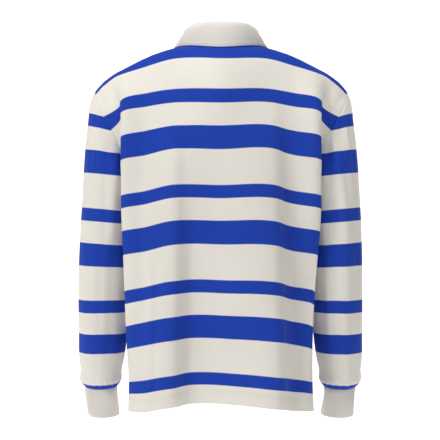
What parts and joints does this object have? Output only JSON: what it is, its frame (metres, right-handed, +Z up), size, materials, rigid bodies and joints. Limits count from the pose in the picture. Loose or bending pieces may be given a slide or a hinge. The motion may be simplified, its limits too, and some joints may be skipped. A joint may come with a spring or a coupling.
{
  "type": "rugby shirt",
  "caption": "Long-sleeved rugby shirt filled out as if worn, with a turned-down collar, wide and narrow hoops, dropped set-in sleeves, rib cuffs and side vents.",
  "frame": {"origin": "middle of the neck opening, level with the tops of the shoulders, where the wearer's shoulders hold the shirt up", "axes": "+Z up, the front faces -Y, +X towards the wearer's left sleeve"},
  "size_m": [0.598, 0.23, 0.8303],
  "materials": {
    "striped_jersey": "matt heavy cotton jersey in royal blue and off-white hoops",
    "off_white_rib": "matt rib knit",
    "off_white_twill": "matt cotton twill",
    "button_rubber": "satin"
  },
  "bodies": {
    "root": {"back": "striped_jersey", "front": "striped_jersey", "sleeve_left": "striped_jersey", "sleeve_right": "striped_jersey", "cuff_left": "off_white_rib", "cuff_right": "off_white_rib", "collar": "off_white_twill", "placket_upper": "off_white_twill", "placket_under": "off_white_twill", "button_1": "button_rubber", "button_2": "button_rubber", "button_3": "button_rubber"}
  },
  "joints": []
}
